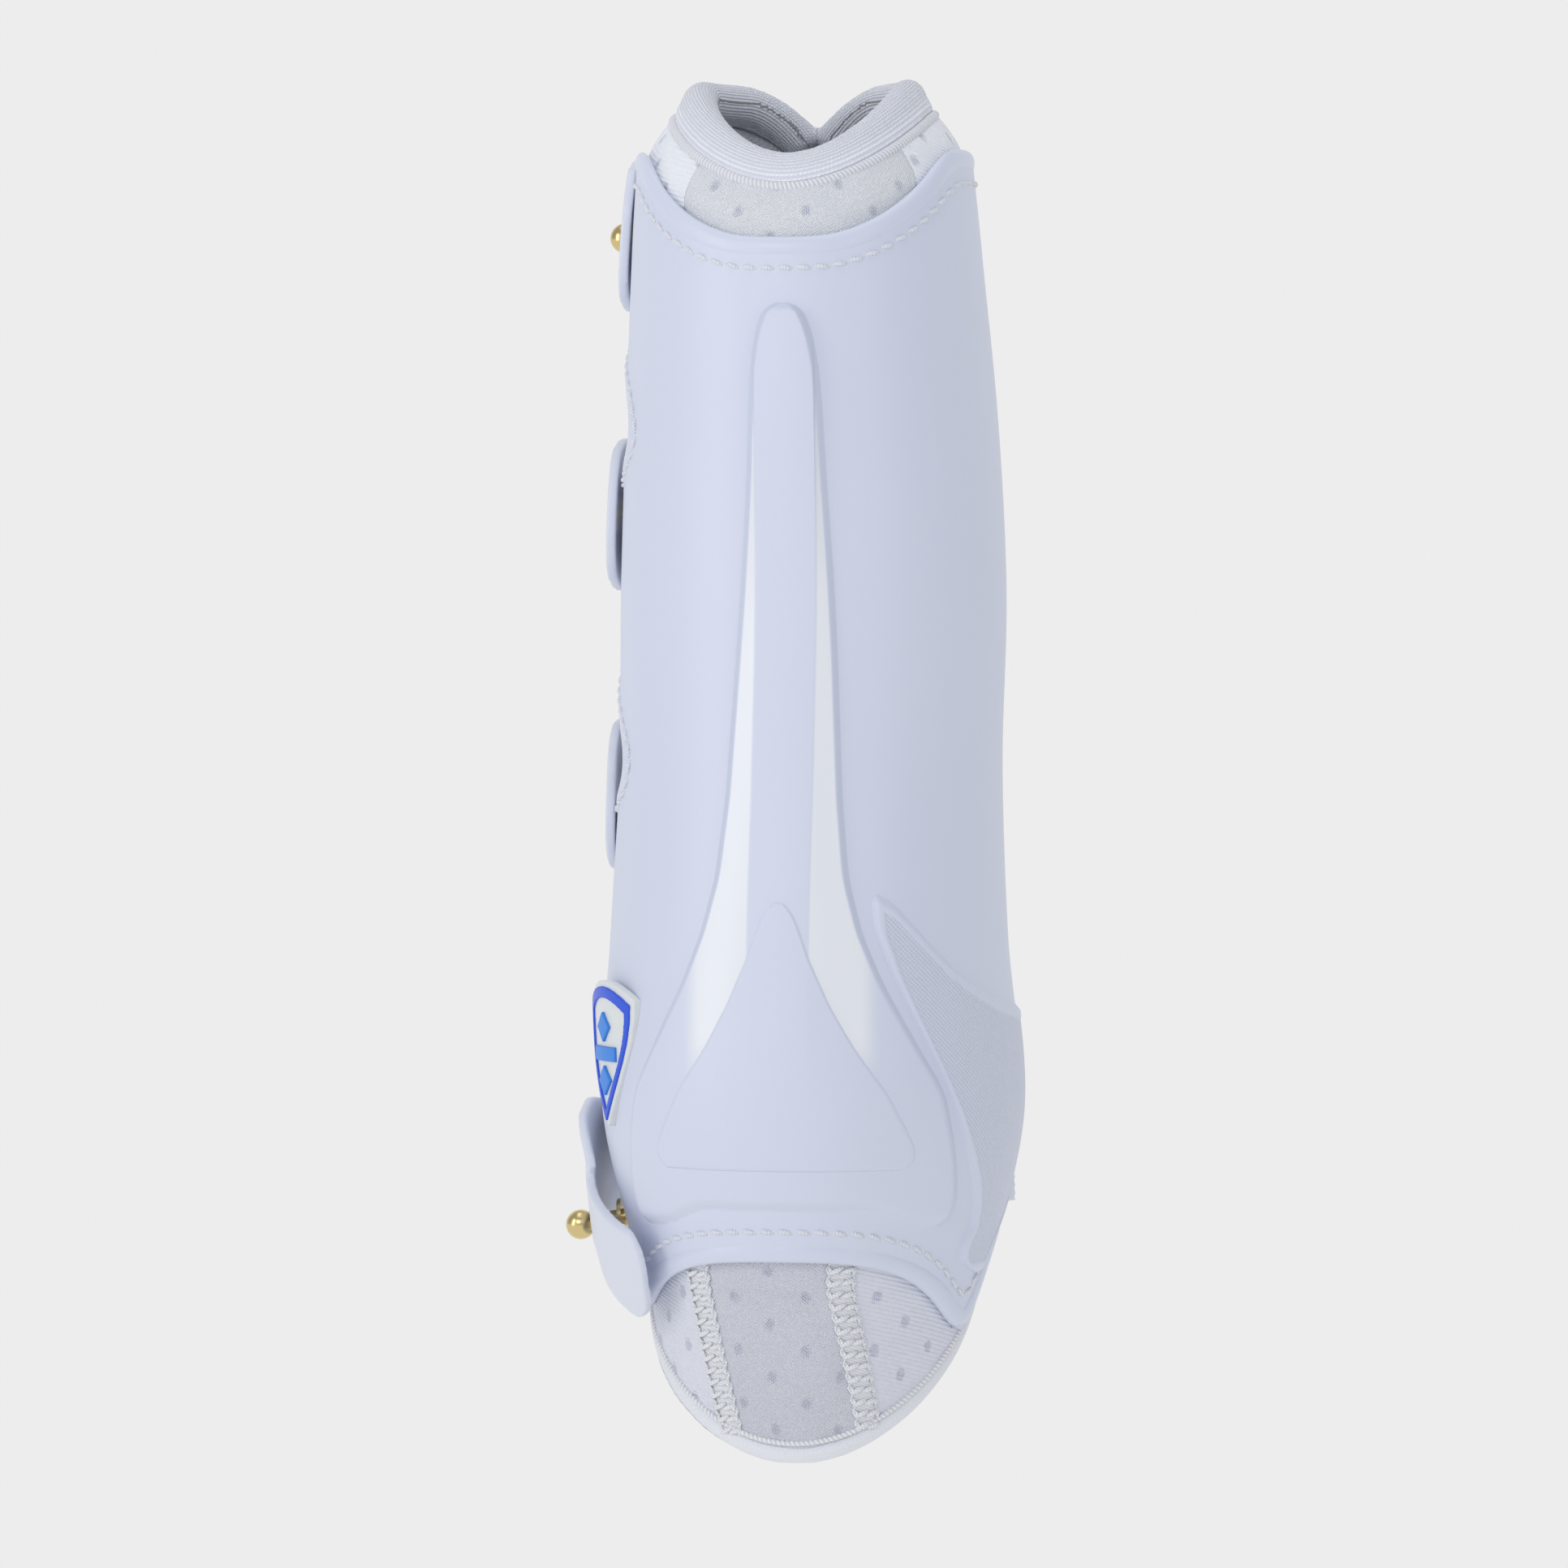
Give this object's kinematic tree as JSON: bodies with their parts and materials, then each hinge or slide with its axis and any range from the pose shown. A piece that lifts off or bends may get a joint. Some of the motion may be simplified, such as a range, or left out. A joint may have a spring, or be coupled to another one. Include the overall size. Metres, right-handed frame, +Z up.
{
  "type": "horse tendon boot",
  "caption": "Open-front tendon boot: moulded shell with a tendon rib over a padded liner, closed by elastic straps on ball studs.",
  "frame": {"origin": "on the leg's axis at the height of the liner's lowest point", "axes": "+Z up the leg, +Y out of the open front, +X to the inner (medial) side of a left leg"},
  "size_m": [0.1091, 0.1127, 0.3195],
  "materials": {
    "shell_plastic": "satin moulded white plastic",
    "pad_plastic": "satin moulded white plastic, textured",
    "tab_plastic": "satin moulded white plastic",
    "liner_fabric": "white knit over foam",
    "knit_binding": "white rib knit",
    "thread": "white thread",
    "elastic_webbing": "white woven elastic",
    "brass": "polished brass",
    "steel": "plain steel",
    "foam": "open cell foam",
    "badge_clear": "clear white rubber",
    "badge_blue": "blue rubber",
    "badge_motif": "blue and black rubber"
  },
  "bodies": {
    "boot": {"outer_shell": "shell_plastic", "shell_edge_bead": "shell_plastic", "edge_stitching": "thread", "tendon_rib": "shell_plastic", "tendon_pad": "pad_plastic", "medial_strike_pad": "pad_plastic", "impact_foam": "foam", "liner_back_panel": "liner_fabric", "liner_medial_panel": "liner_fabric", "liner_lateral_panel": "liner_fabric", "liner_seam_lateral": "thread", "liner_seam_medial": "thread", "collar_roll": "knit_binding", "collar_piping": "knit_binding", "bottom_binding": "knit_binding", "front_binding_lateral": "knit_binding", "front_binding_medial": "knit_binding", "ball_stud_1": "brass", "ball_stud_2": "brass", "ball_stud_3": "brass", "ball_stud_4": "brass", "stud_backing_washers": "steel", "strap_anchor_1": "tab_plastic", "strap_anchor_2": "tab_plastic", "strap_anchor_3": "tab_plastic", "strap_anchor_4": "tab_plastic", "anchor_rivets": "brass", "badge_base": "badge_clear", "badge_border": "badge_blue", "badge_emblem": "badge_motif"},
    "strap_1": {"strap_elastic_1": "elastic_webbing"},
    "tab_1": {"strap_tab_1": "tab_plastic"},
    "strap_2": {"strap_elastic_2": "elastic_webbing"},
    "tab_2": {"strap_tab_2": "tab_plastic"},
    "strap_3": {"strap_elastic_3": "elastic_webbing"},
    "tab_3": {"strap_tab_3": "tab_plastic"},
    "strap_4": {"strap_elastic_4": "elastic_webbing"},
    "tab_4": {"strap_tab_4": "tab_plastic"}
  },
  "joints": [
    {"name": "tab_1_peel", "type": "hinge", "parent": "strap_1", "child": "tab_1", "pos_m": [-0.02238, 0.03711, 0.284], "axis": [0, 0, -1], "range_deg": [0, 100]},
    {"name": "strap_1_swing", "type": "hinge", "parent": "boot", "child": "strap_1", "pos_m": [0.01898, 0.03711, 0.284], "axis": [0, 0, -1], "range_deg": [0, 35]},
    {"name": "tab_2_peel", "type": "hinge", "parent": "strap_2", "child": "tab_2", "pos_m": [-0.02277, 0.03907, 0.2185], "axis": [0, 0, -1], "range_deg": [0, 100]},
    {"name": "strap_2_swing", "type": "hinge", "parent": "boot", "child": "strap_2", "pos_m": [0.02262, 0.03907, 0.2185], "axis": [0, 0, -1], "range_deg": [0, 35]},
    {"name": "tab_3_peel", "type": "hinge", "parent": "strap_3", "child": "tab_3", "pos_m": [-0.02323, 0.0393, 0.1525], "axis": [0, 0, -1], "range_deg": [0, 100]},
    {"name": "strap_3_swing", "type": "hinge", "parent": "boot", "child": "strap_3", "pos_m": [0.02183, 0.0393, 0.1525], "axis": [0, 0, -1], "range_deg": [0, 35]},
    {"name": "tab_4_peel", "type": "hinge", "parent": "strap_4", "child": "tab_4", "pos_m": [-0.04496, 0.027, 0.06924], "axis": [0.1699, 0.4501, -0.8767], "range_deg": [0, 100]},
    {"name": "strap_4_swing", "type": "hinge", "parent": "boot", "child": "strap_4", "pos_m": [0.02587, 0.04413, 0.07382], "axis": [0, 0.2588, -0.9659], "range_deg": [0, 35]}
  ],
  "couplings": [
    {"joint": "strap_1_swing", "follows": "tab_1_peel", "ratio": 0.35},
    {"joint": "strap_2_swing", "follows": "tab_2_peel", "ratio": 0.35},
    {"joint": "strap_3_swing", "follows": "tab_3_peel", "ratio": 0.35},
    {"joint": "strap_4_swing", "follows": "tab_4_peel", "ratio": 0.35}
  ]
}
